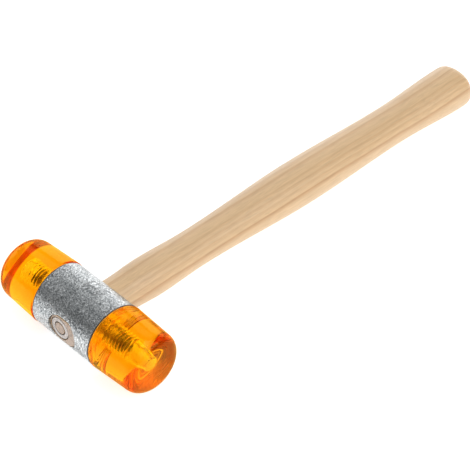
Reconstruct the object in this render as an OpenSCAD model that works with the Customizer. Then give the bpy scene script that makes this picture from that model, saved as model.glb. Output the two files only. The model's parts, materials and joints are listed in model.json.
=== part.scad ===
// Soft face hammer: a cast body with an oval eye, two plastic faces screwed on to steel studs,
// and an ash handle locked in the eye by a ring wedge. It lies on its side on a bench.
// Tool axes: the head runs along X, the handle along +Y, and the middle of the head is at zero.
// lay() turns the tool about the head until the butt touches the bench, and centres it.

/* [Head body] */
// How far the outside of the body lies in from the faces
body_step = 0.25; // [0.1:0.05:1]
// Length of the cast body between its two seats
body_len = 41; // [37:0.5:50]
// Radius on the two outer edges of the body
body_edge = 0.8; // [0.3:0.1:2]
// Length of the eye along the head
eye_len = 19.5; // [17:0.1:21]
// Height of the eye across the head
eye_h = 15; // [13:0.1:16]
// Sideways place of the eye along the head
eye_x = 0.8; // [-1:0.1:1]
// Iron left between the end of the eye and a stud hole
web = 2; // [1:0.1:3]
// Bevel at the mouth of a stud's hole, in the body and in a face
mouth_bevel = 0.6; // [0.2:0.1:1.5]

/* [Studs] */
// Diameter of a stud over its thread
stud_d = 8; // [6:0.1:10]
// Length of a stud that stands out of the body
stud_reach = 12; // [8:0.1:16]
// Bevel on both ends of a stud
stud_bevel = 0.8; // [0.3:0.1:1.5]

/* [Faces] */
// Widest diameter of a face, near its seat
face_d = 35; // [30:0.1:42]
// Length of a face from its seat to the striking surface
face_len = 29.3; // [26:0.1:34]
// Draft of the side of a face, in degrees
face_draft = 2.7; // [0.5:0.1:4]
// Radius between the side and the striking surface
face_round = 6.5; // [3:0.1:9]
// Radius on the seat edge of a face
seat_edge = 1; // [0.3:0.1:2]
// Plastic left between the stud's hole and the striking surface
core_floor = 9; // [6:0.1:12]
// Radius at the end of the stud's hole
core_round = 2; // [0.5:0.1:2.5]

/* [Handle] */
// Width of the handle where it meets the body
shoulder_w = 21.2; // [20:0.1:24]
// Thickness of the handle where it meets the body
shoulder_t = 16.2; // [15:0.1:19]
// Distance of the swell from the middle of the head
swell_y = 40; // [34:0.5:48]
// Width at the swell
swell_w = 22.9; // [20:0.1:26]
// Thickness at the swell
swell_t = 18.3; // [16:0.1:21]
// Distance of the neck from the middle of the head
neck_y = 70; // [60:0.5:84]
// Width at the neck
neck_w = 21; // [18:0.1:24]
// Thickness at the neck
neck_t = 16.9; // [15:0.1:19]
// Distance of the belly from the middle of the head
belly_y = 146; // [120:1:165]
// Width at the belly
belly_w = 25.7; // [22:0.1:29]
// Thickness at the belly
belly_t = 21.3; // [18:0.1:24]
// Distance of the waist from the middle of the head
waist_y = 215; // [195:1:230]
// Width at the waist
waist_w = 22.9; // [20:0.1:27]
// Thickness at the waist
waist_t = 18.9; // [17:0.1:23]
// Distance of the knob from the middle of the head
knob_y = 265; // [250:1:268]
// Width at the knob
knob_w = 26.4; // [24:0.1:31]
// Thickness at the knob
knob_t = 22.6; // [20:0.1:26]
// Distance of the butt end from the middle of the head
butt_y = 272; // [271:0.5:300]
// How far the rounded butt edge draws in
butt_round = 5.5; // [2:0.1:8]
// Height of the dome on the butt end
butt_dome = 1.6; // [0.5:0.1:4]
// Squareness of the oval sections, where 2 is a true ellipse
oval_power = 2.2; // [2:0.05:3]

/* [Ring wedge] */
// Outside diameter of the ring at its driven end
wedge_d = 12; // [9:0.1:13]
// Wall of the ring at its driven end
wedge_wall = 2.3; // [1.2:0.1:2.6]
// Wall of the ring at its leading edge
wedge_tip = 0.6; // [0.3:0.1:1]
// Length of the ring
wedge_len = 15; // [10:0.5:22]
// Sideways place of the ring along the head
wedge_x = -1.7; // [-2.5:0.1:2.5]
// Place of the ring above the middle of the eye
wedge_z = 0; // [-0.8:0.1:0.8]

/* [Fits] */
// Gap between a face and its seat on the body
seat_gap = 0.1; // [0.05:0.05:0.5]
// Gap round a stud in a face
thread_gap = 0.2; // [0.1:0.05:0.4]
// Gap round a stud in the body
stud_gap = 0.05; // [0.02:0.01:0.2]
// Gap between a stud and the bottom of its hole in the body
stud_end_gap = 0.4; // [0.2:0.1:1.5]
// Gap between the handle and the body
eye_gap = 0.05; // [0.02:0.01:0.2]
// Gap between the ring wedge and the wood
wedge_gap = 0.05; // [0.02:0.01:0.2]
// How far the wood end lies inside the body's round outside
end_recess = 1.6; // [0.1:0.1:2.5]

/* [Hidden] */
$fn = 96;

// How far a cut runs past the surface that it opens
overshoot = 1;

head_r = face_d / 2;
body_r = head_r - body_step;
hole_depth = (body_len - eye_len) / 2 - abs(eye_x) - web;
stud_r = stud_d / 2;
core_r = stud_r + thread_gap;
wood_end_y = end_recess - body_r;
shoulder_y = body_r + 1;
loft_start_y = body_r / 2;

// Handle sections from the head to the butt: distance, width, thickness.
// Every one after the first is a swell or a waist, so a half cosine joins each to the next.
oval_sides = 40;
span_steps = 7;
round_steps = 6;
dome_steps = 3;
keys = [
    [shoulder_y, shoulder_w, shoulder_t],
    [swell_y, swell_w, swell_t],
    [neck_y, neck_w, neck_t],
    [belly_y, belly_w, belly_t],
    [waist_y, waist_w, waist_t],
    [knob_y, knob_w, knob_t]
];

function ease(from, to, u) = from + (to - from) * (1 - cos(180 * u)) / 2;

root_sections = [[loft_start_y, shoulder_w, shoulder_t]];
grip_sections = [
    for (i = [0:len(keys) - 2], j = [0:span_steps - 1])
        let (a = keys[i], b = keys[i + 1], u = j / span_steps)
            [a[0] + (b[0] - a[0]) * u, ease(a[1], b[1], u), ease(a[2], b[2], u)]
];
round_len = butt_y - butt_dome - knob_y;
round_sections = [
    for (j = [0:round_steps])
        let (a = 90 * j / round_steps, inset = 2 * butt_round * (1 - cos(a)))
            [knob_y + round_len * sin(a), knob_w - inset, knob_t - inset]
];
dome_sections = [
    for (j = [1:dome_steps - 1])
        let (s = 1 - j / dome_steps)
            [butt_y - butt_dome * s * s, (knob_w - 2 * butt_round) * s, (knob_t - 2 * butt_round) * s]
];
sections = concat(root_sections, grip_sections, round_sections, dome_sections);

function power(v) = sign(v) * pow(abs(v), 2 / oval_power);
function oval(s) = [
    for (k = [0:oval_sides - 1])
        let (a = 360 * k / oval_sides)
            [s[1] / 2 * power(cos(a)), s[0], s[2] / 2 * power(sin(a))]
];

// Lying pose: of the sections that can reach the bench, the first to touch it sets the angle.
lie_angle = min([
    for (s = concat(grip_sections, round_sections))
        let (span = norm([s[0], s[2] / 2]))
            if (span > head_r)
                asin(head_r / span) - atan2(s[2] / 2, s[0])
]);
reach_y = max([
    for (s = concat(round_sections, dome_sections, [[butt_y, 0, 0]]))
        s[0] * cos(lie_angle) + s[2] / 2 * sin(lie_angle)
]);
middle_y = (reach_y - head_r) / 2;

module lay() {
    translate([0, -middle_y, head_r])
        rotate([-lie_angle, 0, 0])
            children();
}

// A revolved profile drawn as radius and distance, turned to lie along X.
module revolve_x() {
    rotate([0, 90, 0])
        rotate_extrude()
            children();
}

// An oval with straight long sides, pushed along Y through the place of the eye.
module obround_y(length, height, from_y, to_y) {
    translate([eye_x, to_y, 0])
        rotate([90, 0, 0])
            linear_extrude(to_y - from_y) {
                square([length - height, height], center = true);
                for (side = [-1, 1])
                    translate([side * (length - height) / 2, 0])
                        circle(d = height);
            }
}

// Half profile of the cast body, from its middle to one rounded edge.
module body_half_profile() {
    square([body_r, body_len / 2 - body_edge]);
    square([body_r - body_edge, body_len / 2]);
    translate([body_r - body_edge, body_len / 2 - body_edge])
        circle(body_edge);
}

// Blind hole for a stud in the right end of the body, with a bevelled mouth.
module stud_hole() {
    hole_r = stud_r + stud_gap;
    rotate([0, 90, 0]) {
        translate([0, 0, body_len / 2 - hole_depth])
            cylinder(h = hole_depth + overshoot, r = hole_r);
        translate([0, 0, body_len / 2 - mouth_bevel])
            cylinder(h = mouth_bevel, r1 = hole_r, r2 = hole_r + mouth_bevel);
    }
}

module head_body() {
    color("#9aa0a3")
        lay()
            difference() {
                for (side = [0, 1])
                    mirror([side, 0, 0])
                        revolve_x()
                            body_half_profile();
                obround_y(eye_len, eye_h, -2 * body_r, 2 * body_r);
                for (side = [0, 1])
                    mirror([side, 0, 0])
                        stud_hole();
            }
}

// Stud that stands in the right end of the body.
module stud() {
    root_x = body_len / 2 - hole_depth + stud_end_gap;
    end_x = body_len / 2 + stud_reach;
    end_r = stud_r - stud_bevel;
    color("#55524e")
        revolve_x()
            polygon([
                [0, root_x],
                [end_r, root_x],
                [stud_r, root_x + stud_bevel],
                [stud_r, end_x - stud_bevel],
                [end_r, end_x],
                [0, end_x]
            ]);
}

module right_stud() {
    lay()
        stud();
}

module left_stud() {
    lay()
        mirror([1, 0, 0])
            stud();
}

// Profile of one face: flat seat, seat edge, drafted side, round and striking surface.
module face_profile() {
    edge_r = head_r - seat_edge;
    round_y = face_len - face_round;
    rise = (round_y - seat_edge) * sin(face_draft);
    round_r = edge_r + (seat_edge - face_round - rise) / cos(face_draft);
    normal = [cos(face_draft), sin(face_draft)];
    polygon([
        [0, 0],
        [edge_r, 0],
        [edge_r, seat_edge],
        [edge_r, seat_edge] + seat_edge * normal,
        [round_r, round_y] + face_round * normal,
        [round_r, round_y],
        [round_r, face_len],
        [0, face_len]
    ]);
    translate([edge_r, seat_edge])
        circle(seat_edge);
    translate([round_r, round_y])
        circle(face_round);
}

// Profile of the stud's hole in a face: bevelled at the seat, rounded at its end.
module core_profile() {
    depth = face_len - core_floor;
    square([core_r, depth - core_round]);
    square([core_r - core_round, depth]);
    translate([core_r - core_round, depth - core_round])
        circle(core_round);
    polygon([
        [0, -overshoot],
        [core_r + mouth_bevel + overshoot, -overshoot],
        [core_r, mouth_bevel],
        [0, mouth_bevel]
    ]);
}

module face() {
    color("#f08a10", 0.8)
        translate([body_len / 2 + seat_gap, 0, 0])
            revolve_x()
                difference() {
                    face_profile();
                    core_profile();
                }
}

module right_face() {
    lay()
        face();
}

module left_face() {
    lay()
        mirror([1, 0, 0])
            face();
}

// Ring wedge with its driven end at the wood end; gap swells it into its own slot.
module wedge_shape(gap) {
    outer_r = wedge_d / 2;
    bore_r = outer_r - wedge_wall;
    translate([wedge_x, wood_end_y, wedge_z])
        rotate([-90, 0, 0])
            rotate_extrude()
                polygon([
                    [bore_r - gap, 0],
                    [outer_r + gap, 0],
                    [bore_r + wedge_tip + gap, wedge_len + gap],
                    [bore_r - gap, wedge_len + gap]
                ]);
}

module ring_wedge() {
    color("#b9b6b0")
        lay()
            wedge_shape(0);
}

// Grip as one skin over all the sections, closed flat at the head and in a point on the dome.
module grip_loft() {
    rings = len(sections);
    points = concat([for (s = sections) each oval(s)], [[0, butt_y, 0]]);
    start = [for (k = [oval_sides - 1:-1:0]) k];
    sides = [
        for (i = [0:rings - 2], k = [0:oval_sides - 1])
            let (
                a = i * oval_sides + k,
                b = i * oval_sides + (k + 1) % oval_sides,
                c = b + oval_sides,
                d = a + oval_sides
            )
                each [[a, b, c], [a, c, d]]
    ];
    last = (rings - 1) * oval_sides;
    tip = [
        for (k = [0:oval_sides - 1])
            [last + k, last + (k + 1) % oval_sides, rings * oval_sides]
    ];
    polyhedron(points, concat([start], sides, tip));
}

module handle() {
    color("#d9b888")
        lay()
            difference() {
                union() {
                    difference() {
                        grip_loft();
                        rotate([0, 90, 0])
                            cylinder(h = body_len, r = body_r + eye_gap, center = true);
                    }
                    obround_y(eye_len - 2 * eye_gap, eye_h - 2 * eye_gap, wood_end_y, shoulder_y);
                }
                wedge_shape(wedge_gap);
            }
}

head_body();
left_stud();
right_stud();
left_face();
right_face();
handle();
ring_wedge();
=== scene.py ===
"""Soft face hammer: detailed pieces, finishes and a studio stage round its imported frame."""

import contextlib
import json
import math

import bmesh
import bpy
from bpy.props import FloatProperty, FloatVectorProperty, PointerProperty
from mathutils import Matrix, Vector


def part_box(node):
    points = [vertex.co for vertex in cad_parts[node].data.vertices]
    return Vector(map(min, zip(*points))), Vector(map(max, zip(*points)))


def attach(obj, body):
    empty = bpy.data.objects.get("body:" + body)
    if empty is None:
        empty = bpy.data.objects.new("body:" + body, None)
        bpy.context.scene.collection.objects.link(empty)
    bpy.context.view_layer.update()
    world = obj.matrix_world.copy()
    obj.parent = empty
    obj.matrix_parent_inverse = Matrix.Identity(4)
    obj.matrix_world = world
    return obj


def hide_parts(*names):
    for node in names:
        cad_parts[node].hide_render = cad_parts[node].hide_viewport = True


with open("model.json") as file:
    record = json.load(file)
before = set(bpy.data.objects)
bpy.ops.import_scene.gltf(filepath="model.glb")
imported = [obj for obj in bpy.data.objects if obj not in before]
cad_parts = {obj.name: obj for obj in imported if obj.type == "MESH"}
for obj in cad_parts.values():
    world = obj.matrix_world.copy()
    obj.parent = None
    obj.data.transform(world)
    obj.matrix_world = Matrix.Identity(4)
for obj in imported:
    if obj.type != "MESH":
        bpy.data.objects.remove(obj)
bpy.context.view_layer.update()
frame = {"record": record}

bl_info = {
    "name": "Soft Face Hammer",
    "version": (1, 0, 0),
    "blender": (4, 5, 0),
    "location": "View3D > Sidebar > Hammer",
    "description": "Models a soft face hammer round its frame and lights it on a pale floor",
    "category": "Object",
}

MM = 0.001
TINY = 1e-6
FULL_TURN = 2 * math.pi
SHARP_EDGE = math.radians(35)

# Fineness of the meshes
BARREL_STEPS = 160
LATHE_STEPS = 128
RING_STEPS = 96
EYE_STEPS = 94
THREAD_STEPS = 72
GRIP_STEPS = 48
CORNER_SEGMENTS = 14
BEVEL_SEGMENTS = 3
LONG_EDGE = 3 * MM
LONG_EDGE_CUTS = 9
SKIN_VOXEL = 0.42 * MM
SWELL_STEPS = 7
BUTT_STEPS = 6
DOME_SHARES = (0.66, 0.33)

# Flat part of a thread's crest, as a share of the pitch
CREST_SHARE = 0.16
# How far a cutting tool reaches past what it cuts
SPARE = MM
# Surfaces this near to a seat's plane belong to the seat
SEAT_DEPTH = 0.1 * MM
ACETATE_IOR = 1.48

# Name, place, width and height in metres, and radiance of each softbox
SOFTBOXES = (
    ("back_softbox", (-0.85, 1.3, 0.4), (2.4, 0.76), 1.7),
    ("side_softbox", (1.3, 0.2, 1.0), (2.0, 1.5), 1.75),
    ("top_softbox", (0.3, 0.2, 1.6), (1.0, 1.0), 3.1),
    ("upper_softbox", (-0.84, 0.72, 1.15), (1.2, 0.5), 0.9),
    ("left_softbox", (-1.4, -0.2, 0.58), (1.0, 0.8), 2.6),
)

# Places taken from the frame: the head's middle, its ends and the angle at which the tool lies
BODY_LOW, BODY_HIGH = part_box("head_body")
FACE_LOW, FACE_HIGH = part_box("right_face")
HEAD_MIDDLE = Vector((0, (FACE_LOW.y + FACE_HIGH.y) / 2, (FACE_LOW.z + FACE_HIGH.z) / 2))
MOUNTS = {m["name"]: m for m in frame["record"]["mounts"]}
GRIP_AXIS = Vector(MOUNTS["handle_grip"]["axis"])
LIE_ANGLE = math.atan2(-GRIP_AXIS.z, GRIP_AXIS.y)
BODY_HALF = BODY_HIGH.x
BODY_R = (BODY_HIGH.z - BODY_LOW.z) / 2
FACE_R = (FACE_HIGH.z - FACE_LOW.z) / 2
FACE_TIP = FACE_HIGH.x
SEAT = FACE_LOW.x
STUD_LOW, STUD_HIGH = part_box("right_stud")
STUD_R = (STUD_HIGH.z - STUD_LOW.z) / 2
# Tool axes have the head along X and the handle along +Y; this lays the tool on the floor
LAY = Matrix.Translation(HEAD_MIDDLE) @ Matrix.Rotation(-LIE_ANGLE, 4, "X")


def linear(code):
    """Linear colour of an sRGB hex value."""
    parts = [int(code[i : i + 2], 16) / 255 for i in (1, 3, 5)]
    return tuple(c / 12.92 if c <= 0.04045 else ((c + 0.055) / 1.055) ** 2.4 for c in parts)


class BodySizes(bpy.types.PropertyGroup):
    """Sizes and colours of the cast body"""

    eye_length: FloatProperty(
        name="Eye length", description="Eye along the head", default=19.5 * MM, unit="LENGTH")
    eye_height: FloatProperty(
        name="Eye height", description="Eye across the head", default=15 * MM, unit="LENGTH")
    eye_offset: FloatProperty(
        name="Eye offset", description="Place of the eye along the head", default=0.8 * MM,
        unit="LENGTH")
    edge: FloatProperty(
        name="Edge", description="Turned bevel on the outer edges", default=0.7 * MM, unit="LENGTH")
    skin_depth: FloatProperty(
        name="Skin depth", description="Height of the cast skin's lumps", default=0.07 * MM,
        unit="LENGTH")
    skin_grain: FloatProperty(
        name="Skin grain", description="Width of the cast skin's lumps", default=1.6 * MM,
        unit="LENGTH")
    zinc: FloatVectorProperty(
        name="Zinc", description="Bright zinc on the high spots", default=linear("#e6e9ea"),
        subtype="COLOR")
    pit: FloatVectorProperty(
        name="Pit", description="Dull zinc in the pits", default=linear("#7d8285"),
        subtype="COLOR")
    seat: FloatVectorProperty(
        name="Seat", description="Matt zinc on the turned seats", default=linear("#f6f6f4"),
        subtype="COLOR")


class StudSizes(bpy.types.PropertyGroup):
    """Sizes and colour of the two studs that hold the faces"""

    pitch: FloatProperty(
        name="Pitch", description="Thread pitch", default=2 * MM, unit="LENGTH")
    depth: FloatProperty(
        name="Depth", description="Thread crest to root", default=0.7 * MM, unit="LENGTH")
    bevel: FloatProperty(
        name="Bevel", description="Bevel on both ends", default=0.8 * MM, unit="LENGTH")
    hole_gap: FloatProperty(
        name="Hole gap", description="Gap round a stud in the body", default=0.05 * MM,
        unit="LENGTH")
    end_gap: FloatProperty(
        name="End gap", description="Gap under a stud in the body", default=0.4 * MM,
        unit="LENGTH")
    mouth: FloatProperty(
        name="Mouth", description="Bevel at the mouth of each hole", default=0.6 * MM,
        unit="LENGTH")
    steel: FloatVectorProperty(
        name="Steel", description="Plated steel", default=linear("#efdfcb"), subtype="COLOR")


class FaceSizes(bpy.types.PropertyGroup):
    """Sizes and colours of the two plastic faces"""

    draft: FloatProperty(
        name="Draft", description="Draft of the side", default=math.radians(2.7), subtype="ANGLE")
    end_round: FloatProperty(
        name="End round", description="Radius at the striking surface", default=6.5 * MM,
        unit="LENGTH")
    seat_round: FloatProperty(
        name="Seat round", description="Radius at the seat", default=1.0 * MM, unit="LENGTH")
    thread_gap: FloatProperty(
        name="Thread gap", description="Play between the threads", default=0.2 * MM, unit="LENGTH")
    thread_end: FloatProperty(
        name="Thread end", description="Plain hole left past the thread", default=4.2 * MM,
        unit="LENGTH")
    thread_depth: FloatProperty(
        name="Thread depth", description="Height of the moulded thread", default=0.36 * MM,
        unit="LENGTH")
    core_round: FloatProperty(
        name="Core round", description="Radius at the end of the hole", default=2 * MM,
        unit="LENGTH")
    core_floor: FloatProperty(
        name="Core floor", description="Plastic in front of the core hole", default=9 * MM,
        unit="LENGTH")
    amber: FloatVectorProperty(
        name="Amber", description="Colour that the absorption leaves", default=linear("#fff027"),
        subtype="COLOR")
    absorption: FloatProperty(
        name="Absorption", description="Absorption density per metre", default=230)
    gloss: FloatVectorProperty(
        name="Gloss", description="Tint of the surface reflections", default=linear("#ffce69"),
        subtype="COLOR")
    haze: FloatVectorProperty(
        name="Haze", description="Colour of the faint haze inside", default=linear("#ffe7aa"),
        subtype="COLOR")
    haze_density: FloatProperty(
        name="Haze density", description="Scattering density per metre", default=3)


class HandleSizes(bpy.types.PropertyGroup):
    """Sizes and colours of the ash handle"""

    shoulder: FloatVectorProperty(
        name="Shoulder", description="Distance, width, thickness at the body",
        default=(18.25 * MM, 21.2 * MM, 16.2 * MM), unit="LENGTH")
    swell: FloatVectorProperty(
        name="Swell", description="Distance, width, thickness at the swell",
        default=(40 * MM, 22.9 * MM, 18.3 * MM), unit="LENGTH")
    neck: FloatVectorProperty(
        name="Neck", description="Distance, width, thickness at the neck",
        default=(70 * MM, 21 * MM, 16.9 * MM), unit="LENGTH")
    belly: FloatVectorProperty(
        name="Belly", description="Distance, width, thickness at the belly",
        default=(146 * MM, 25.7 * MM, 21.3 * MM), unit="LENGTH")
    waist: FloatVectorProperty(
        name="Waist", description="Distance, width, thickness at the waist",
        default=(215 * MM, 22.9 * MM, 18.9 * MM), unit="LENGTH")
    knob: FloatVectorProperty(
        name="Knob", description="Distance, width, thickness at the knob",
        default=(265 * MM, 26.4 * MM, 22.6 * MM), unit="LENGTH")
    butt: FloatProperty(
        name="Butt", description="Distance of the butt end", default=272 * MM, unit="LENGTH")
    butt_round: FloatProperty(
        name="Butt round", description="Draw-in of the butt edge", default=5.5 * MM, unit="LENGTH")
    butt_dome: FloatProperty(
        name="Butt dome", description="Height of the butt's dome", default=1.6 * MM, unit="LENGTH")
    oval_power: FloatProperty(
        name="Oval", description="Squareness of the section", default=2.2)
    end_recess: FloatProperty(
        name="End recess", description="Wood end inside the body's outside", default=1.6 * MM,
        unit="LENGTH")
    eye_gap: FloatProperty(
        name="Eye gap", description="Gap round the wood in the eye", default=0.12 * MM,
        unit="LENGTH")
    tenon_bevel: FloatProperty(
        name="Tenon bevel", description="Bevel on the end of the tenon", default=0.35 * MM,
        unit="LENGTH")
    pale: FloatVectorProperty(
        name="Pale wood", description="Late wood", default=linear("#d6b488"), subtype="COLOR")
    line: FloatVectorProperty(
        name="Grain line", description="Porous early wood", default=linear("#b98a5c"),
        subtype="COLOR")
    cut: FloatVectorProperty(
        name="Cut end", description="End grain", default=linear("#cdb3a0"), subtype="COLOR")


class WedgeSizes(bpy.types.PropertyGroup):
    """Sizes and colour of the ring wedge"""

    outer_d: FloatProperty(
        name="Diameter", description="Outside at the driven end", default=12 * MM, unit="LENGTH")
    wall: FloatProperty(
        name="Wall", description="Wall at the driven end", default=2.3 * MM, unit="LENGTH")
    tip: FloatProperty(
        name="Tip", description="Wall at the leading edge", default=0.6 * MM, unit="LENGTH")
    length: FloatProperty(
        name="Length", description="Length of the ring", default=15 * MM, unit="LENGTH")
    bore_bevel: FloatProperty(
        name="Bore bevel", description="Bevel on the bore's edge", default=0.25 * MM, unit="LENGTH")
    rim_bevel: FloatProperty(
        name="Rim bevel", description="Bevel on the outer edge", default=0.35 * MM, unit="LENGTH")
    offset: FloatVectorProperty(
        name="Offset", description="Place in the eye, along and across the head",
        default=(-1.7 * MM, 0), size=2, unit="LENGTH")
    slot_gap: FloatProperty(
        name="Slot gap", description="Crack between ring and wood", default=0.52 * MM,
        unit="LENGTH")
    steel: FloatVectorProperty(
        name="Steel", description="Dull steel", default=linear("#c9c3bf"), subtype="COLOR")


class StageSettings(bpy.types.PropertyGroup):
    """Camera, floor and lights"""

    azimuth: FloatProperty(
        name="Azimuth", description="Camera turn about Z", default=math.radians(46.04),
        subtype="ANGLE")
    elevation: FloatProperty(
        name="Elevation", description="Camera above the horizon", default=math.radians(42.79),
        subtype="ANGLE")
    distance: FloatProperty(
        name="Distance", description="Camera to its aim", default=982 * MM, unit="LENGTH")
    lens: FloatProperty(name="Lens", description="Focal length in millimetres", default=149.5)
    aim: FloatVectorProperty(
        name="Aim", description="Aim from the head's middle", default=(8.9 * MM, 90.5 * MM, 0),
        unit="LENGTH")
    floor: FloatVectorProperty(
        name="Floor", description="Matt white floor", default=linear("#d4d4d3"), subtype="COLOR")
    floor_size: FloatProperty(
        name="Floor size", description="Side of the floor", default=12, unit="LENGTH")
    floor_glow: FloatProperty(
        name="Floor glow", description="Light from the floor itself", default=0.78)
    fill: FloatProperty(name="Fill", description="Strength of the room's own light", default=0.2)


class HammerSettings(bpy.types.PropertyGroup):
    """All that a user would change"""

    body: PointerProperty(type=BodySizes)
    stud: PointerProperty(type=StudSizes)
    face: PointerProperty(type=FaceSizes)
    handle: PointerProperty(type=HandleSizes)
    wedge: PointerProperty(type=WedgeSizes)
    stage: PointerProperty(type=StageSettings)


def only(piece):
    """Makes one object the only one selected, and active."""
    bpy.ops.object.select_all(action="DESELECT")
    piece.select_set(True)
    bpy.context.view_layer.objects.active = piece


@contextlib.contextmanager
def editing(piece):
    """Edit mode on one object."""
    only(piece)
    bpy.ops.object.mode_set(mode="EDIT")
    yield
    bpy.ops.object.mode_set(mode="OBJECT")


def pick(piece, kind, test):
    """Selects the verts or edges that pass a test, in edit mode."""
    bpy.ops.mesh.select_mode(type={"verts": "VERT", "edges": "EDGE"}[kind])
    bpy.ops.mesh.select_all(action="DESELECT")
    mesh = bmesh.from_edit_mesh(piece.data)
    for item in getattr(mesh, kind):
        item.select_set(bool(test(item)))
    mesh.select_flush_mode()
    bmesh.update_edit_mesh(piece.data)


def started(name, add, **size):
    """A new primitive under its own name, with its place moved into its mesh."""
    bpy.ops.object.select_all(action="DESELECT")
    add(**size)
    piece = bpy.context.object
    piece.name = piece.data.name = name
    bpy.ops.object.transform_apply(location=True, rotation=True, scale=True)
    return piece


def modified(piece, kind, **settings):
    """Adds a modifier and applies it."""
    only(piece)
    modifier = piece.modifiers.new(kind.lower(), kind)
    for key, value in settings.items():
        setattr(modifier, key, value)
    bpy.ops.object.modifier_apply(modifier=modifier.name)


def worked(piece, tool, operation):
    """Cuts, joins or trims a piece by a tool object, which is then gone."""
    modified(piece, "BOOLEAN", object=tool, operation=operation, solver="MANIFOLD")
    bpy.data.objects.remove(tool)


def turned_about(piece, angle, axis):
    """Turns a mesh about the tool's origin."""
    piece.data.transform(Matrix.Rotation(angle, 4, axis))
    piece.data.update()


def finished(piece, node, body, material):
    """Lays a piece on the floor, shades it, and hides its CAD node."""
    piece.data.transform(LAY)
    piece.data.update()
    only(piece)
    bpy.ops.object.shade_smooth_by_angle(angle=SHARP_EDGE)
    piece.data.materials.clear()
    piece.data.materials.append(material)
    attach(piece, body)
    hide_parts(node)


def closed():
    """Merges doubles and turns all faces outwards, in edit mode."""
    bpy.ops.mesh.select_all(action="SELECT")
    bpy.ops.mesh.remove_doubles(threshold=TINY)
    bpy.ops.mesh.normals_make_consistent(inside=False)


def profile_plane(name, corners):
    """A plane whose four corners are pulled to a half profile of (along X, radius)."""
    piece = started(name, bpy.ops.mesh.primitive_plane_add, size=2)
    for index, (along, radius) in zip((0, 1, 3, 2), corners):
        piece.data.vertices[index].co = (along, radius, 0)
    return piece


def turned(name, corners, rounds=(0, 0, 0, 0), steps=LATHE_STEPS):
    """A half profile with rounded corners, spun about X into a closed piece."""
    piece = profile_plane(name, corners)
    with editing(piece):
        for (along, radius), reach in zip(corners, rounds):
            if reach:
                corner = Vector((along, radius, 0))
                pick(piece, "verts", lambda v: (v.co - corner).length < TINY)
                bpy.ops.mesh.bevel(offset=reach, segments=CORNER_SEGMENTS, affect="VERTICES")
        bpy.ops.mesh.select_all(action="SELECT")
        bpy.ops.mesh.delete(type="ONLY_FACE")
        pick(piece, "edges", lambda e: all(abs(v.co.y) < TINY for v in e.verts))
        bpy.ops.mesh.delete(type="EDGE")
        pick(piece, "edges", lambda e: e.calc_length() > LONG_EDGE)
        bpy.ops.mesh.subdivide(number_cuts=LONG_EDGE_CUTS)
        bpy.ops.mesh.select_all(action="SELECT")
        bpy.ops.mesh.spin(steps=steps, angle=FULL_TURN, center=(0, 0, 0), axis=(1, 0, 0))
        closed()
    return piece


def threaded_rod(name, zero, start, end, crest, root, pitch):
    """A right-hand screw along X, cut square at both ends; zero sets the thread's phase."""
    flat = CREST_SHARE * pitch
    flank = (pitch - flat) / 2
    corners = [(0, root), (flank, crest), (flank + flat, crest), (pitch, root)]
    turns = math.ceil((end - zero) / pitch) + 2
    piece = profile_plane(name, [(zero - pitch + along, radius) for along, radius in corners])
    with editing(piece):
        bpy.ops.mesh.select_all(action="SELECT")
        bpy.ops.mesh.delete(type="ONLY_FACE")
        pick(piece, "edges", lambda e: all(abs(v.co.y - root) < TINY for v in e.verts))
        bpy.ops.mesh.delete(type="EDGE")
    modified(piece, "SCREW", axis="X", angle=FULL_TURN, screw_offset=pitch, iterations=turns,
             steps=THREAD_STEPS, render_steps=THREAD_STEPS)
    with editing(piece):
        closed()
        for along, side in ((start, -1), (end, 1)):
            bpy.ops.mesh.select_all(action="SELECT")
            bpy.ops.mesh.bisect(plane_co=(along, 0, 0), plane_no=(side, 0, 0), use_fill=True,
                                clear_outer=True)
        closed()
    return piece


def screw(name, pitch, depth, start, end, gap=0):
    """A stud's thread on the right side of the head; a gap makes it the tool for a tapped hole."""
    crest = STUD_R + gap
    return threaded_rod(name, STUD_LOW.x - 2 * pitch, start, end, crest, crest - depth, pitch)


def obround(name, middle, length, height, low, high, bevel=0):
    """A rod along Y with an oval section that has straight long sides."""
    piece = started(name, bpy.ops.mesh.primitive_cylinder_add, vertices=EYE_STEPS,
                    radius=height / 2, depth=high - low, location=(0, (low + high) / 2, 0),
                    rotation=(math.pi / 2, 0, 0))
    with editing(piece):
        for side in (-1, 1):
            pick(piece, "verts", lambda v: v.co.x * side > 0)
            bpy.ops.transform.translate(value=(middle + side * (length - height) / 2, 0, 0))
        if bevel:
            pick(piece, "edges", lambda e: all(v.co.y < low + TINY for v in e.verts))
            bpy.ops.mesh.bevel(offset=bevel, segments=BEVEL_SEGMENTS)
    return piece


def ring(name, sizes, end, gap=0, lead=0, rounds=(0, 0, 0, 0)):
    """The ring wedge, or with a gap and a lead the tool that cuts its slot in the wood."""
    outer = sizes.outer_d / 2
    bore = outer - sizes.wall
    far = sizes.length + gap
    corners = [(-lead, bore - gap), (-lead, outer + gap), (far, bore + sizes.tip + gap),
               (far, bore - gap)]
    piece = turned(name, corners, rounds, steps=RING_STEPS)
    turned_about(piece, math.pi / 2, "Z")
    piece.data.transform(Matrix.Translation((sizes.offset[0], end, sizes.offset[1])))
    return piece


def node(tree, kind, settings=None, sockets=None, stops=()):
    """Adds a node with its settings; a socket takes a value or another node's output.

    A Map Range has its ranges on sockets 1 to 4, a Mix numbers on 2 and 3 and colours on 6 and 7.
    """
    made = tree.nodes.new(kind)
    for key, value in (settings or {}).items():
        setattr(made, key, value)
    for key, value in (sockets or {}).items():
        if isinstance(value, bpy.types.NodeSocket):
            tree.links.new(value, made.inputs[key])
        else:
            made.inputs[key].default_value = value
    for index, (position, colour) in enumerate(stops):
        ramp = made.color_ramp.elements
        stop = ramp[index] if index < len(ramp) else ramp.new(position)
        stop.position = position
        stop.color = (*colour, 1)
    return made


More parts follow.
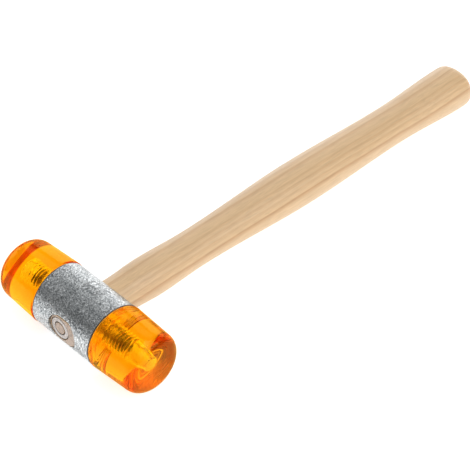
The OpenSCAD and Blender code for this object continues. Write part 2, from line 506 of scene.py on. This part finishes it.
def new_material(name):
    """An empty node material, its tree and its output node."""
    material = bpy.data.materials.new(name)
    material.use_nodes = True
    tree = material.node_tree
    tree.nodes.clear()
    return material, tree, node(tree, "ShaderNodeOutputMaterial")


def head_places(tree, place):
    """Distance from the head's middle, place across its axis, and radius from its axis."""
    middle = node(tree, "ShaderNodeMapping", {"vector_type": "TEXTURE"}, {
        "Vector": place, "Location": HEAD_MIDDLE})
    split = node(tree, "ShaderNodeSeparateXYZ", None, {0: middle.outputs[0]})
    off = node(tree, "ShaderNodeMath", {"operation": "ABSOLUTE"}, {0: split.outputs["X"]})
    across = node(tree, "ShaderNodeVectorMath", {"operation": "MULTIPLY"}, {
        0: middle.outputs[0], 1: (0, 1, 1)})
    radius = node(tree, "ShaderNodeVectorMath", {"operation": "LENGTH"}, {0: across.outputs[0]})
    return off.outputs[0], across.outputs[0], radius.outputs["Value"]


def zinc_flecks(tree, place, cloud):
    """Shade of dark flecks, which gather on cloudy plating and on a worn patch on top."""
    speck_width, patch_core, patch_edge = 1.5 * MM, 3 * MM, 10 * MM
    speck = node(tree, "ShaderNodeTexNoise", None, {"Vector": place, "Scale": 1 / speck_width})
    patch = node(tree, "ShaderNodeMapping", {"vector_type": "TEXTURE"}, {
        "Vector": place, "Location": HEAD_MIDDLE + Vector((3 * MM, 4 * MM, BODY_R))})
    away = node(tree, "ShaderNodeVectorMath", {"operation": "LENGTH"}, {0: patch.outputs[0]})
    worn = node(tree, "ShaderNodeMapRange", {"interpolation_type": "SMOOTHSTEP"}, {
        "Value": away.outputs["Value"], 1: patch_core, 2: patch_edge, 3: 0.22, 4: 0.0})
    cloudy = node(tree, "ShaderNodeMath", {"operation": "ADD"}, {0: cloud, 1: worn.outputs[0]})
    gather = node(tree, "ShaderNodeMath", {"operation": "MULTIPLY"}, {
        0: speck.outputs["Fac"], 1: cloudy.outputs[0]})
    fleck = node(tree, "ShaderNodeMapRange", None, {
        "Value": gather.outputs[0], 1: 0.31, 2: 0.38, 3: 1.0, 4: 0.5})
    return fleck.outputs[0]


def zinc_skin(tree, place, sizes):
    """Colour, roughness and normal of the plated cast skin."""
    grain_width, cloud_width = 0.65 * MM, 9 * MM
    # Drawn coarser than life, so that they show
    crystal_width, crystal_lean = 0.42 * MM, 0.15
    grain = node(tree, "ShaderNodeTexNoise", None, {
        "Vector": place, "Scale": 1 / grain_width, "Detail": 2.0, "Roughness": 0.6})
    cloud = node(tree, "ShaderNodeTexNoise", None, {
        "Vector": place, "Scale": 1 / cloud_width, "Detail": 3.0, "Roughness": 0.6})
    mottle = node(tree, "ShaderNodeMath", {"operation": "MULTIPLY_ADD"}, {
        0: cloud.outputs["Fac"], 1: 0.35, 2: grain.outputs["Fac"]})
    tone = node(tree, "ShaderNodeValToRGB", None, {"Fac": mottle.outputs[0]},
                [(0.54, sizes.pit), (0.78, sizes.zinc)])
    rough = node(tree, "ShaderNodeMapRange", None, {
        "Value": grain.outputs["Fac"], 1: 0.3, 2: 0.7, 3: 0.4, 4: 0.28})
    bump = node(tree, "ShaderNodeBump", None, {
        "Height": grain.outputs["Fac"], "Strength": 1.0, "Distance": 0.06 * MM})
    # Each small crystal of the zinc leans its own way, so that some flash and some stay dark
    crystal = node(tree, "ShaderNodeTexVoronoi", None, {
        "Vector": place, "Scale": 1 / crystal_width})
    lean = node(tree, "ShaderNodeVectorMath", {"operation": "MULTIPLY_ADD"}, {
        0: crystal.outputs["Color"], 1: [2 * crystal_lean] * 3, 2: [-crystal_lean] * 3})
    leaning = node(tree, "ShaderNodeVectorMath", {"operation": "ADD"}, {
        0: bump.outputs["Normal"], 1: lean.outputs[0]})
    normal = node(tree, "ShaderNodeVectorMath", {"operation": "NORMALIZE"}, {0: leaning.outputs[0]})
    flecked = node(tree, "ShaderNodeVectorMath", {"operation": "SCALE"}, {
        0: tone.outputs["Color"], "Scale": zinc_flecks(tree, place, cloud.outputs["Fac"])})
    # Painted glints: each crystal's colour is scaled brighter or darker at random, on top of its
    # lean
    chance = node(tree, "ShaderNodeSeparateXYZ", None, {0: crystal.outputs["Color"]})
    painted_glint = node(tree, "ShaderNodeMapRange", None, {
        "Value": chance.outputs["X"], 3: 0.5, 4: 1.35})
    skin = node(tree, "ShaderNodeVectorMath", {"operation": "SCALE"}, {
        0: flecked.outputs[0], "Scale": painted_glint.outputs[0]})
    return skin.outputs[0], rough.outputs[0], normal.outputs[0]


def zinc_plated_iron(sizes):
    """Bright zinc over a sand-cast skin: grey and sparkling, dull in pits, clean on the seats."""
    material, tree, output = new_material("zinc_plated_cast_iron")
    place = node(tree, "ShaderNodeTexCoord").outputs["Object"]
    off, _, radius = head_places(tree, place)
    skin, rough, normal = zinc_skin(tree, place, sizes)
    seat = node(tree, "ShaderNodeMath", {"operation": "GREATER_THAN"}, {
        0: off, 1: BODY_HALF - SEAT_DEPTH})
    # Painted shade darkens the groove at the turned bevels, where body and face meet
    gap_shade_start, gap_shade_end = BODY_HALF - 0.9 * MM, BODY_HALF - 0.4 * MM
    painted_gap_shade = node(tree, "ShaderNodeMapRange", None, {
        "Value": off, 1: gap_shade_start, 2: gap_shade_end, 3: 1.0, 4: 0.12})
    gap_shaded_skin = node(tree, "ShaderNodeVectorMath", {"operation": "SCALE"}, {
        0: skin, "Scale": painted_gap_shade.outputs[0]})
    # The seats are bright, with rings left by the lathe, drawn coarser than life
    ring_width = 0.3 * MM
    turns = node(tree, "ShaderNodeMath", {"operation": "PINGPONG"}, {0: radius, 1: ring_width})
    ring_shade = node(tree, "ShaderNodeMapRange", None, {
        "Value": turns.outputs[0], 2: ring_width, 3: 0.8, 4: 1.0})
    seat_tone = node(tree, "ShaderNodeVectorMath", {"operation": "SCALE"}, {
        0: sizes.seat, "Scale": ring_shade.outputs[0]})
    colour = node(tree, "ShaderNodeMix", {"data_type": "RGBA"}, {
        "Factor": seat.outputs[0], 6: gap_shaded_skin.outputs[0], 7: seat_tone.outputs[0]})
    dull = node(tree, "ShaderNodeMix", {"data_type": "FLOAT"}, {
        "Factor": seat.outputs[0], 2: rough, 3: 0.42})
    surface = node(tree, "ShaderNodeBsdfPrincipled", None, {
        "Base Color": colour.outputs[2], "Metallic": 1.0, "Roughness": dull.outputs[0],
        "Normal": normal})
    tree.links.new(surface.outputs[0], output.inputs["Surface"])
    return material


def uneven_plastic(tree, place):
    """Roughness and normal of a face: polished outside, uneven in the hole and on the back."""
    flow_width, strand_width, arc_width = 7 * MM, 1.6 * MM, 1.8 * MM
    # Heights as multiples of the ripples outside
    strand_height, arc_height = 12.0, 60.0
    off, across, radius = head_places(tree, place)
    flow = node(tree, "ShaderNodeTexNoise", None, {
        "Vector": place, "Scale": 1 / flow_width, "Detail": 2.0})
    # The hole is left as moulded: duller and more uneven than the polished outside
    hole = node(tree, "ShaderNodeMath", {"operation": "LESS_THAN"}, {
        0: radius, 1: STUD_R + 0.5 * MM})
    strand = node(tree, "ShaderNodeTexNoise", None, {
        "Vector": place, "Scale": 1 / strand_width, "Detail": 2.0})
    deeper = node(tree, "ShaderNodeMath", {"operation": "MULTIPLY"}, {
        0: strand.outputs["Fac"], 1: strand_height})
    uneven = node(tree, "ShaderNodeMix", {"data_type": "FLOAT"}, {
        "Factor": hole.outputs[0], 2: flow.outputs["Fac"], 3: deeper.outputs[0]})
    # The back is roughly turned, so that its inner mirror image breaks up into arcs
    back = node(tree, "ShaderNodeMath", {"operation": "LESS_THAN"}, {0: off, 1: SEAT + SEAT_DEPTH})
    outward = node(tree, "ShaderNodeCombineXYZ", None, {"X": radius})
    arc_place = node(tree, "ShaderNodeVectorMath", {"operation": "MULTIPLY_ADD"}, {
        0: across, 1: (0, 0.15, 0.15), 2: outward.outputs[0]})
    arc = node(tree, "ShaderNodeTexNoise", None, {
        "Vector": arc_place.outputs[0], "Scale": 1 / arc_width, "Detail": 2.0})
    turning = node(tree, "ShaderNodeMath", {"operation": "MULTIPLY"}, {
        0: arc.outputs["Fac"], 1: arc_height})
    relief = node(tree, "ShaderNodeMix", {"data_type": "FLOAT"}, {
        "Factor": back.outputs[0], 2: uneven.outputs[0], 3: turning.outputs[0]})
    polish = node(tree, "ShaderNodeMapRange", None, {
        "Value": flow.outputs["Fac"], 3: 0.015, 4: 0.06})
    rough = node(tree, "ShaderNodeMath", {"operation": "MULTIPLY_ADD"}, {
        0: hole.outputs[0], 1: 0.22, 2: polish.outputs[0]})
    ripple = node(tree, "ShaderNodeBump", None, {
        "Height": relief.outputs[0], "Strength": 0.3, "Distance": 0.08 * MM})
    return rough.outputs[0], ripple.outputs["Normal"]


def amber_acetate(sizes):
    """Moulded cellulose acetate: clear, glossy, orange where the light's way through it is long."""
    material, tree, output = new_material("amber_cellulose_acetate")
    place = node(tree, "ShaderNodeTexCoord").outputs["Object"]
    rough, normal = uneven_plastic(tree, place)
    # Reflections on the outside take the plastic's warmth; those inside lose no light
    inner = node(tree, "ShaderNodeNewGeometry").outputs["Backfacing"]
    warm = node(tree, "ShaderNodeMix", {"data_type": "RGBA"}, {
        "Factor": inner, 6: (*sizes.gloss, 1), 7: (1, 1, 1, 1)})
    mirror = node(tree, "ShaderNodeBsdfAnisotropic", None, {
        "Color": warm.outputs[2], "Roughness": rough, "Normal": normal})
    clear = node(tree, "ShaderNodeBsdfRefraction", None, {
        "Roughness": rough, "IOR": ACETATE_IOR, "Normal": normal})
    share = node(tree, "ShaderNodeFresnel", None, {"IOR": ACETATE_IOR, "Normal": normal})
    surface = node(tree, "ShaderNodeMixShader", None, {
        0: share.outputs[0], 1: clear.outputs[0], 2: mirror.outputs[0]})
    # The amber swallows blue and some green, and a faint haze lifts its darkest places
    depth = node(tree, "ShaderNodeVolumeAbsorption", None, {
        "Color": (*sizes.amber, 1), "Density": sizes.absorption})
    haze = node(tree, "ShaderNodeVolumeScatter", None, {
        "Color": (*sizes.haze, 1), "Density": sizes.haze_density, "Anisotropy": 0.3})
    inside = node(tree, "ShaderNodeAddShader", None, {0: depth.outputs[0], 1: haze.outputs[0]})
    tree.links.new(surface.outputs[0], output.inputs["Surface"])
    tree.links.new(inside.outputs[0], output.inputs["Volume"])
    return material


def growth_lines(tree, along):
    """Share of porous early wood: rings round a far heart, so long lines, some hardly seen."""
    ring_width, sway_width, sway_reach = 2.9 * MM, 110 * MM, 5 * MM
    heart_place, heart_lean = (79 * MM, 0, -61 * MM), (math.radians(0.4), 0, math.radians(0.6))
    sway = node(tree, "ShaderNodeTexNoise", None, {
        "Vector": along, "Scale": 1 / sway_width, "Detail": 2.0})
    heart = node(tree, "ShaderNodeMapping", None, {
        "Vector": along, "Location": heart_place, "Rotation": heart_lean, "Scale": (1, 0, 1)})
    bent = node(tree, "ShaderNodeVectorMath", {"operation": "MULTIPLY_ADD"}, {
        0: sway.outputs["Color"], 1: (sway_reach, 0, sway_reach), 2: heart.outputs[0]})
    radius = node(tree, "ShaderNodeVectorMath", {"operation": "LENGTH"}, {0: bent.outputs[0]})
    count = node(tree, "ShaderNodeMath", {"operation": "DIVIDE"}, {
        0: radius.outputs["Value"], 1: ring_width})
    phase = node(tree, "ShaderNodeMath", {"operation": "FRACT"}, {0: count.outputs[0]})
    year = node(tree, "ShaderNodeMath", {"operation": "FLOOR"}, {0: count.outputs[0]})
    growth = node(tree, "ShaderNodeTexWhiteNoise", {"noise_dimensions": "1D"}, {
        "W": year.outputs[0]})
    early = node(tree, "ShaderNodeValToRGB", None, {"Fac": phase.outputs[0]},
                 [(0.0, (0, 0, 0)), (0.12, (1, 1, 1)), (0.75, (0, 0, 0))])
    strength = node(tree, "ShaderNodeMath", {"operation": "POWER"}, {
        0: growth.outputs["Value"], 1: 1.6})
    line = node(tree, "ShaderNodeMath", {"operation": "MULTIPLY"}, {
        0: early.outputs["Color"], 1: strength.outputs[0]})
    return line.outputs[0]


def end_grain(tree, along, facing, sizes):
    """Share of cut end, and its colour: greyer and darker, with pores."""
    pore_width = 0.9 * MM
    square = node(tree, "ShaderNodeVectorMath", {"operation": "DOT_PRODUCT"}, {
        0: facing, 1: GRIP_AXIS})
    cut = node(tree, "ShaderNodeMath", {"operation": "ABSOLUTE"}, {0: square.outputs["Value"]})
    share = node(tree, "ShaderNodeMapRange", {"interpolation_type": "SMOOTHSTEP"}, {
        "Value": cut.outputs[0], 1: 0.75, 2: 0.98, 3: 0.0, 4: 0.85})
    pore = node(tree, "ShaderNodeTexNoise", None, {
        "Vector": along, "Scale": 1 / pore_width, "Detail": 3.0})
    shade = node(tree, "ShaderNodeMapRange", None, {
        "Value": pore.outputs["Fac"], 1: 0.42, 2: 0.6, 3: 1.0, 4: 0.55})
    colour = node(tree, "ShaderNodeVectorMath", {"operation": "SCALE"}, {
        0: sizes.cut, "Scale": shade.outputs[0]})
    return share.outputs[0], colour.outputs[0]


def lacquered_ash(sizes):
    """Sanded, thinly lacquered ash: pale tan, with porous early wood as long soft darker lines."""
    material, tree, output = new_material("lacquered_ash")
    place = node(tree, "ShaderNodeTexCoord")
    along = node(tree, "ShaderNodeMapping", {"vector_type": "TEXTURE"}, {
        "Vector": place.outputs["Object"], "Location": HEAD_MIDDLE,
        "Rotation": (-LIE_ANGLE, 0, 0)}).outputs[0]
    ring_tone = node(tree, "ShaderNodeMix", {"data_type": "RGBA"}, {
        "Factor": growth_lines(tree, along), 6: (*sizes.pale, 1), 7: (*sizes.line, 1)})
    # Fibres and pores, drawn out along the handle and coarser than life, so that they show
    fibre_width, fibre_draw = 0.34 * MM, 0.025
    drawn_out = node(tree, "ShaderNodeMapping", None, {
        "Vector": along, "Scale": (1, fibre_draw, 1)})
    fibre = node(tree, "ShaderNodeTexNoise", None, {
        "Vector": drawn_out.outputs[0], "Scale": 1 / fibre_width, "Detail": 4.0, "Roughness": 0.7})
    shade = node(tree, "ShaderNodeMapRange", None, {
        "Value": fibre.outputs["Fac"], 1: 0.3, 2: 0.7, 3: 0.8, 4: 1.12})
    side = node(tree, "ShaderNodeVectorMath", {"operation": "SCALE"}, {
        0: ring_tone.outputs[2], "Scale": shade.outputs[0]})
    cut_share, cut_tone = end_grain(tree, along, place.outputs["Normal"], sizes)
    tone = node(tree, "ShaderNodeMix", {"data_type": "RGBA"}, {
        "Factor": cut_share, 6: side.outputs[0], 7: cut_tone})
    rough = node(tree, "ShaderNodeMapRange", None, {
        "Value": fibre.outputs["Fac"], 3: 0.52, 4: 0.4})
    pores = node(tree, "ShaderNodeBump", None, {
        "Height": fibre.outputs["Fac"], "Strength": 0.3, "Distance": 0.08 * MM})
    surface = node(tree, "ShaderNodeBsdfPrincipled", None, {
        "Base Color": tone.outputs[2], "Roughness": rough.outputs[0], "IOR": 1.5,
        "Coat Weight": 0.5, "Coat Roughness": 0.3, "Normal": pores.outputs["Normal"]})
    tree.links.new(surface.outputs[0], output.inputs["Surface"])
    return material


def plated_steel(sizes):
    """Rolled, zinc plated stud: warm and bright at the body, darker towards its end."""
    material, tree, output = new_material("zinc_plated_steel")
    place = node(tree, "ShaderNodeTexCoord").outputs["Object"]
    smear_width = 2.2 * MM
    smeared = [0.6 * c for c in sizes.steel]
    smear = node(tree, "ShaderNodeTexNoise", None, {
        "Vector": place, "Scale": 1 / smear_width, "Detail": 3.0})
    tone = node(tree, "ShaderNodeValToRGB", None, {"Fac": smear.outputs["Fac"]},
                [(0.38, smeared), (0.55, sizes.steel)])
    split = node(tree, "ShaderNodeSeparateXYZ", None, {0: place})
    off = node(tree, "ShaderNodeMath", {"operation": "ABSOLUTE"}, {0: split.outputs["X"]})
    # The colour grows darker from the body towards the stud's end
    darker_to_end = node(tree, "ShaderNodeMapRange", {"interpolation_type": "SMOOTHSTEP"}, {
        "Value": off.outputs[0], 1: BODY_HALF, 2: STUD_HIGH.x, 3: 1.0, 4: 0.35})
    colour = node(tree, "ShaderNodeVectorMath", {"operation": "SCALE"}, {
        0: tone.outputs["Color"], "Scale": darker_to_end.outputs[0]})
    surface = node(tree, "ShaderNodeBsdfPrincipled", None, {
        "Base Color": colour.outputs[0], "Metallic": 1.0, "Roughness": 0.5})
    tree.links.new(surface.outputs[0], output.inputs["Surface"])
    return material


def wedge_steel(sizes):
    """Drawn steel tube, hammered in: dull, with small dents and dark flecks."""
    material, tree, output = new_material("drawn_steel")
    place = node(tree, "ShaderNodeTexCoord").outputs["Object"]
    fleck_width = 0.9 * MM
    stained = [0.5 * c for c in sizes.steel]
    fleck = node(tree, "ShaderNodeTexNoise", None, {
        "Vector": place, "Scale": 1 / fleck_width, "Detail": 3.0})
    tone = node(tree, "ShaderNodeValToRGB", None, {"Fac": fleck.outputs["Fac"]},
                [(0.3, stained), (0.6, sizes.steel)])
    dents = node(tree, "ShaderNodeBump", None, {
        "Height": fleck.outputs["Fac"], "Strength": 0.5, "Distance": 0.1 * MM})
    surface = node(tree, "ShaderNodeBsdfPrincipled", None, {
        "Base Color": tone.outputs["Color"], "Metallic": 1.0, "Roughness": 0.42,
        "Normal": dents.outputs["Normal"]})
    tree.links.new(surface.outputs[0], output.inputs["Surface"])
    return material


class HAMMER_OT_cast_body(bpy.types.Operator):
    """Cast body: rough barrel with its eye, turned ends and two stud holes"""

    bl_idname = "hammer.cast_body"
    bl_label = "Cast Body"

    def execute(self, context):
        sizes = context.scene.hammer.body
        stud = context.scene.hammer.stud
        barrel = started("cast_body", bpy.ops.mesh.primitive_cylinder_add, vertices=BARREL_STEPS,
                         radius=BODY_R - sizes.skin_depth / 2, depth=2 * BODY_HALF + 4 * SPARE,
                         rotation=(0, math.pi / 2, 0))
        eye = obround("eye_tool", sizes.eye_offset, sizes.eye_length, sizes.eye_height,
                      -2 * BODY_R, 2 * BODY_R)
        worked(barrel, eye, "DIFFERENCE")
        modified(barrel, "REMESH", mode="VOXEL", voxel_size=SKIN_VOXEL, use_smooth_shade=True)
        self.cast_skin(barrel, sizes)
        self.turn_ends(barrel, sizes)
        self.stud_holes(barrel, stud)
        finished(barrel, "head_body", "head", zinc_plated_iron(sizes))
        return {"FINISHED"}

    def cast_skin(self, barrel, sizes):
        """Lumps and pits of the sand mould."""
        skin = bpy.data.textures.new("cast_skin", "CLOUDS")
        skin.noise_scale = sizes.skin_grain
        skin.noise_depth = 2
        modified(barrel, "DISPLACE", texture=skin, texture_coords="LOCAL",
                 strength=2 * sizes.skin_depth, mid_level=0.5)

    def turn_ends(self, barrel, sizes):
        """Flat seats with a small turned bevel."""
        above_skin = 0.4 * MM
        reach = BODY_R + above_skin
        bevel = sizes.edge + above_skin
        ends = [(-BODY_HALF, 0), (-BODY_HALF, reach), (BODY_HALF, reach), (BODY_HALF, 0)]
        lathe = turned("lathe_tool", ends, (0, bevel, bevel, 0))
        worked(barrel, lathe, "INTERSECT")

    def stud_holes(self, barrel, stud):
        """A hole with a bevelled mouth in each end."""
        hole_r = STUD_R + stud.hole_gap
        bottom = STUD_LOW.x - stud.end_gap
        over = BODY_HALF + SPARE
        mouth = hole_r + stud.mouth + SPARE
        for angle in (0, math.pi):
            drill = turned("drill_tool", [(bottom, 0), (bottom, hole_r), (over, hole_r), (over, 0)])
            turned_about(drill, angle, "Z")
            worked(barrel, drill, "DIFFERENCE")
            low = BODY_HALF - stud.mouth
            sink = turned("mouth_tool", [(low, 0), (low, hole_r), (over, mouth), (over, 0)])
            turned_about(sink, angle, "Z")
            worked(barrel, sink, "DIFFERENCE")


class HAMMER_OT_studs(bpy.types.Operator):
    """Two threaded steel studs, bevelled at both ends"""

    bl_idname = "hammer.studs"
    bl_label = "Studs"

    def execute(self, context):
        sizes = context.scene.hammer.stud
        material = plated_steel(sizes)
        low, high = STUD_LOW.x, STUD_HIGH.x
        for name, angle in (("right_stud", 0), ("left_stud", math.pi)):
            stud = screw(name + "_screw", sizes.pitch, sizes.depth, low - SPARE, high + SPARE)
            blank = [(low, 0), (low, STUD_R), (high, STUD_R), (high, 0)]
            worked(stud, turned("blank_tool", blank, (0, sizes.bevel, sizes.bevel, 0)), "INTERSECT")
            turned_about(stud, angle, "Z")
            finished(stud, name, "head", material)
        return {"FINISHED"}


class HAMMER_OT_soft_faces(bpy.types.Operator):
    """Two moulded faces: drafted side, rounded end, and a threaded hole for the stud"""

    bl_idname = "hammer.soft_faces"
    bl_label = "Soft Faces"

    def execute(self, context):
        sizes = context.scene.hammer.face
        stud = context.scene.hammer.stud
        material = amber_acetate(sizes)
        for name, angle in (("right_face", 0), ("left_face", math.pi)):
            face = self.moulded(name + "_moulding", sizes, stud)
            turned_about(face, angle, "Z")
            finished(face, name, name, material)
        return {"FINISHED"}

    def moulded(self, name, sizes, stud):
        """One face, as it sits on the right side."""
        front_r = FACE_R - (FACE_TIP - SEAT) * math.tan(sizes.draft)
        reach = sizes.end_round * math.tan((math.pi / 2 - sizes.draft) / 2)
        corners = [(SEAT, 0), (SEAT, FACE_R), (FACE_TIP, front_r), (FACE_TIP, 0)]
        face = turned(name, corners, (0, sizes.seat_round, reach, 0), steps=BARREL_STEPS)
        tip = FACE_TIP - sizes.core_floor
        core_r = STUD_R + sizes.thread_gap
        under = SEAT - SPARE
        deep = tip - sizes.thread_end
        tap = screw("tap_tool", stud.pitch, sizes.thread_depth, under, deep + SPARE / 2,
                    sizes.thread_gap)
        worked(face, tap, "DIFFERENCE")
        relief = [(deep, 0), (deep, core_r), (tip, core_r), (tip, 0)]
        worked(face, turned("core_tool", relief, (0, 0, sizes.core_round, 0)), "DIFFERENCE")
        sink = [(under, 0), (under, core_r + stud.mouth + SPARE), (SEAT + stud.mouth, core_r),
                (SEAT + stud.mouth, 0)]
        worked(face, turned("mouth_tool", sink), "DIFFERENCE")
        return face


class HAMMER_OT_ash_handle(bpy.types.Operator):
    """Ash handle: an oval grip lofted along its length, and the tenon split by the ring"""

    bl_idname = "hammer.ash_handle"
    bl_label = "Ash Handle"

    def execute(self, context):
        sizes = context.scene.hammer.handle
        wedge = context.scene.hammer.wedge
        body = context.scene.hammer.body
        handle = self.grip(sizes)
        saddle = started("saddle_tool", bpy.ops.mesh.primitive_cylinder_add,
                         vertices=BARREL_STEPS, radius=BODY_R, depth=2 * BODY_HALF,
                         rotation=(0, math.pi / 2, 0))
        worked(handle, saddle, "DIFFERENCE")
        end = sizes.end_recess - BODY_R
        gap = 2 * sizes.eye_gap
        tenon = obround("tenon_tool", body.eye_offset, body.eye_length - gap,
                        body.eye_height - gap, end, sizes.shoulder[0], bevel=sizes.tenon_bevel)
        worked(handle, tenon, "UNION")
        worked(handle, ring("slot_tool", wedge, end, wedge.slot_gap, lead=SPARE), "DIFFERENCE")
        finished(handle, "handle", "head", lacquered_ash(sizes))
        return {"FINISHED"}

    def sections(self, sizes):
        """Distance, width and thickness of every ring, joined by half cosines, to the dome."""
        keys = [sizes.shoulder, sizes.swell, sizes.neck, sizes.belly, sizes.waist, sizes.knob]
        rings = [(BODY_R / 2, *sizes.shoulder[1:])]
        for a, b in zip(keys, keys[1:]):
            for step in range(SWELL_STEPS):
                u = step / SWELL_STEPS
                ease = (1 - math.cos(math.pi * u)) / 2
                across = (p + (q - p) * ease for p, q in zip(a[1:], b[1:]))
                rings.append((a[0] + (b[0] - a[0]) * u, *across))
        knob, width, thick = sizes.knob
        length = sizes.butt - sizes.butt_dome - knob
        for step in range(BUTT_STEPS + 1):
            angle = math.pi / 2 * step / BUTT_STEPS
            inset = 2 * sizes.butt_round * (1 - math.cos(angle))
            rings.append((knob + length * math.sin(angle), width - inset, thick - inset))
        rim = (width - 2 * sizes.butt_round, thick - 2 * sizes.butt_round)
        for share in DOME_SHARES:
            end = sizes.butt - sizes.butt_dome * share ** 2
            rings.append((end, rim[0] * share, rim[1] * share))
        return rings

    def grip(self, sizes):
        """A ring extruded and scaled from section to section."""
        rings = self.sections(sizes)
        first = rings[0]
        power = 2 / sizes.oval_power
        grip = started("ash_handle", bpy.ops.mesh.primitive_circle_add, vertices=GRIP_STEPS,
                       radius=1, rotation=(math.pi / 2, 0, 0), fill_type="NGON")
        for vertex in grip.data.vertices:
            x, _, z = (math.copysign(abs(c) ** power, c) for c in vertex.co)
            vertex.co = (x * first[1] / 2, first[0], z * first[2] / 2)
        with editing(grip):
            bpy.ops.mesh.select_all(action="SELECT")
            for last, now in zip(rings, rings[1:]):
                bpy.ops.mesh.extrude_region_move(
                    TRANSFORM_OT_translate={"value": (0, now[0] - last[0], 0)})
                bpy.ops.transform.resize(value=(now[1] / last[1], 1, now[2] / last[2]),
                                         center_override=(0, now[0], 0))
            bpy.ops.transform.translate(value=(0, sizes.butt - rings[-1][0], 0))
            bpy.ops.mesh.merge(type="CENTER")
            closed()
        modified(grip, "SUBSURF", levels=1, render_levels=1)
        return grip


class HAMMER_OT_ring_wedge(bpy.types.Operator):
    """Ring wedge driven into the wood end"""

    bl_idname = "hammer.ring_wedge"
    bl_label = "Ring Wedge"

    def execute(self, context):
        sizes = context.scene.hammer.wedge
        end = context.scene.hammer.handle.end_recess - BODY_R
        wedge = ring("steel_ring", sizes, end, rounds=(sizes.bore_bevel, sizes.rim_bevel, 0, 0))
        finished(wedge, "ring_wedge", "head", wedge_steel(sizes))
        return {"FINISHED"}


class HAMMER_OT_stage(bpy.types.Operator):
    """Camera, matt white floor and soft studio light"""

    bl_idname = "hammer.stage"
    bl_label = "Stage"

    def execute(self, context):
        sizes = context.scene.hammer.stage
        self.camera(context, sizes)
        self.floor(sizes)
        self.room(context, sizes)
        for box in SOFTBOXES:
            self.softbox(*box)
        context.scene.view_settings.view_transform = "Standard"
        # The way of light through the clear faces has many inner reflections
        context.scene.cycles.max_bounces = 32
        context.scene.cycles.glossy_bounces = 24
        context.scene.cycles.transmission_bounces = 24
        context.scene.cycles.volume_bounces = 2
        return {"FINISHED"}

    def camera(self, context, sizes):
        """Camera at the viewing angle, aimed at the tool."""
        a, e = sizes.azimuth, sizes.elevation
        back = Vector((math.sin(a) * math.cos(e), -math.cos(a) * math.cos(e), math.sin(e)))
        bpy.ops.object.camera_add(location=HEAD_MIDDLE + Vector(sizes.aim) + back * sizes.distance)
        camera = context.object
        camera.rotation_euler = (-back).to_track_quat("-Z", "Y").to_euler()
        camera.data.lens = sizes.lens
        context.scene.camera = camera

    def floor(self, sizes):
        """Matt white board, lit up to an even white."""
        floor = started("floor", bpy.ops.mesh.primitive_plane_add, size=sizes.floor_size)
        material, tree, output = new_material("matt_white_board")
        surface = node(tree, "ShaderNodeBsdfPrincipled", None, {
            "Base Color": (*sizes.floor, 1), "Roughness": 0.9,
            "Specular IOR Level": 0.0, "Emission Color": (1, 1, 1, 1),
            "Emission Strength": sizes.floor_glow})
        tree.links.new(surface.outputs[0], output.inputs["Surface"])
        floor.data.materials.append(material)

    def room(self, context, sizes):
        """Weak even light from all round."""
        world = bpy.data.worlds.new("studio_room")
        world.use_nodes = True
        background = world.node_tree.nodes["Background"]
        background.inputs["Color"].default_value = (1, 1, 1, 1)
        background.inputs["Strength"].default_value = sizes.fill
        context.scene.world = world

    def softbox(self, name, place, size, radiance):
        """A rectangular light turned to the tool, as bright at any size."""
        bpy.ops.object.light_add(type="AREA", location=place)
        light = bpy.context.object
        light.name = name
        light.rotation_euler = (-Vector(place)).to_track_quat("-Z", "Y").to_euler()
        light.data.shape = "RECTANGLE"
        light.data.size, light.data.size_y = size
        light.data.energy = math.pi * size[0] * size[1] * radiance


class HAMMER_PT_sidebar(bpy.types.Panel):
    """Buttons for the hammer's pieces and its stage"""

    bl_idname = "HAMMER_PT_sidebar"
    bl_label = "Soft Face Hammer"
    bl_space_type = "VIEW_3D"
    bl_region_type = "UI"
    bl_category = "Hammer"

    def draw(self, context):
        for operator in OPERATORS:
            self.layout.operator(operator.bl_idname)


OPERATORS = (
    HAMMER_OT_cast_body,
    HAMMER_OT_studs,
    HAMMER_OT_soft_faces,
    HAMMER_OT_ash_handle,
    HAMMER_OT_ring_wedge,
    HAMMER_OT_stage,
)
CLASSES = (
    BodySizes,
    StudSizes,
    FaceSizes,
    HandleSizes,
    WedgeSizes,
    StageSettings,
    HammerSettings,
    *OPERATORS,
    HAMMER_PT_sidebar,
)


def register():
    for cls in CLASSES:
        bpy.utils.register_class(cls)
    bpy.types.Scene.hammer = PointerProperty(type=HammerSettings)


def unregister():
    del bpy.types.Scene.hammer
    for cls in reversed(CLASSES):
        bpy.utils.unregister_class(cls)


def main():
    register()
    bpy.ops.hammer.cast_body()
    bpy.ops.hammer.studs()
    bpy.ops.hammer.soft_faces()
    bpy.ops.hammer.ash_handle()
    bpy.ops.hammer.ring_wedge()
    bpy.ops.hammer.stage()


if __name__ == "__main__":
    main()
